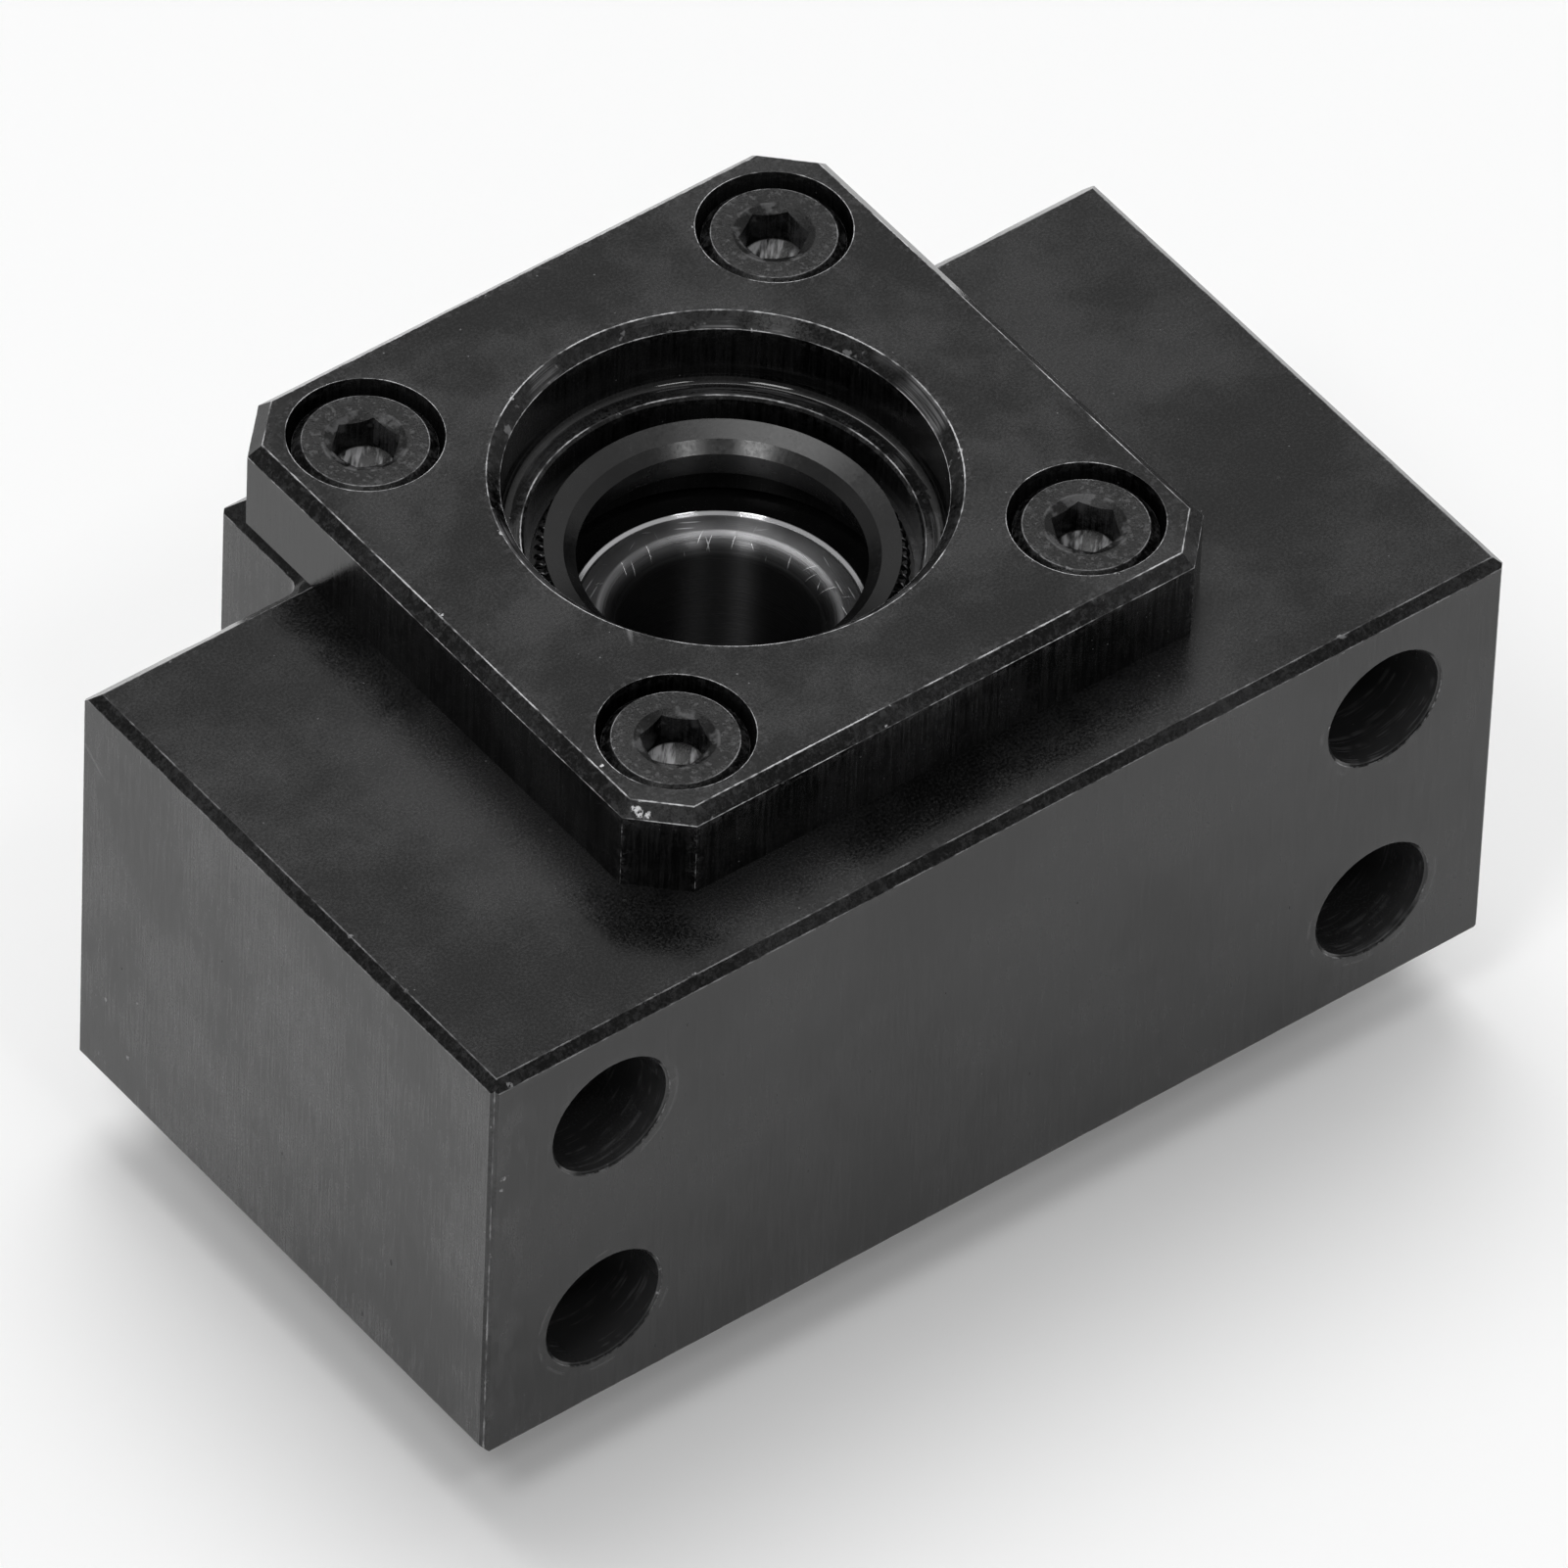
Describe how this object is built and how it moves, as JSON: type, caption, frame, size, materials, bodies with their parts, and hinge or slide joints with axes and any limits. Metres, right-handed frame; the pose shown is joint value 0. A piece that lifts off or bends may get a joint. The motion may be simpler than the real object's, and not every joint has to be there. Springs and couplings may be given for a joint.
{
  "type": "ball screw end support",
  "caption": "Square fixed-side end support for a ball screw: flanged steel block with a bolted lid, shaft seals and a pair of ball bearings round the screw's bore.",
  "frame": {"origin": "on the bearing axis, in the plane of the housing's rear face", "axes": "+Z along the bearing axis towards the lid, X along the mounting holes' long pitch, -Y out of the mounting face"},
  "size_m": [0.06, 0.0392, 0.035],
  "materials": {
    "housing": "black oxide, satin, machined",
    "lid": "black oxide, satin, machined",
    "screws": "black oxide, satin",
    "collar": "black oxide, turned",
    "bearing_steel": "ground",
    "balls": "polished",
    "cage": "moulded",
    "shield": "glossy black",
    "seal": "dull black",
    "spring": "drawn wire"
  },
  "bodies": {
    "block": {"housing": "housing", "lid": "lid", "lid_screws": "screws", "front_seal": "seal", "rear_seal": "seal", "front_seal_spring": "spring", "rear_seal_spring": "spring", "rear_bearing_outer_ring": "bearing_steel", "rear_bearing_lower_shield": "shield", "rear_bearing_upper_shield": "shield", "front_bearing_outer_ring": "bearing_steel", "front_bearing_lower_shield": "shield", "front_bearing_upper_shield": "shield"},
    "rotor": {"rear_collar": "collar", "rear_bearing_inner_ring": "bearing_steel", "front_bearing_inner_ring": "bearing_steel"},
    "rear_ball_set": {"rear_bearing_cage": "cage", "rear_bearing_balls": "balls"},
    "front_ball_set": {"front_bearing_cage": "cage", "front_bearing_balls": "balls"}
  },
  "joints": [
    {"name": "rotor_spin", "type": "hinge", "parent": "block", "child": "rotor", "pos_m": [0, 0, 0], "axis": [0, 0, 1], "continuous": true},
    {"name": "rear_ball_orbit", "type": "hinge", "parent": "block", "child": "rear_ball_set", "pos_m": [0, 0, 0.0086], "axis": [0, 0, 1], "continuous": true},
    {"name": "front_ball_orbit", "type": "hinge", "parent": "block", "child": "front_ball_set", "pos_m": [0, 0, 0.0166], "axis": [0, 0, 1], "continuous": true}
  ],
  "couplings": [
    {"joint": "rear_ball_orbit", "follows": "rotor_spin", "ratio": 0.3677},
    {"joint": "front_ball_orbit", "follows": "rotor_spin", "ratio": 0.3677}
  ]
}
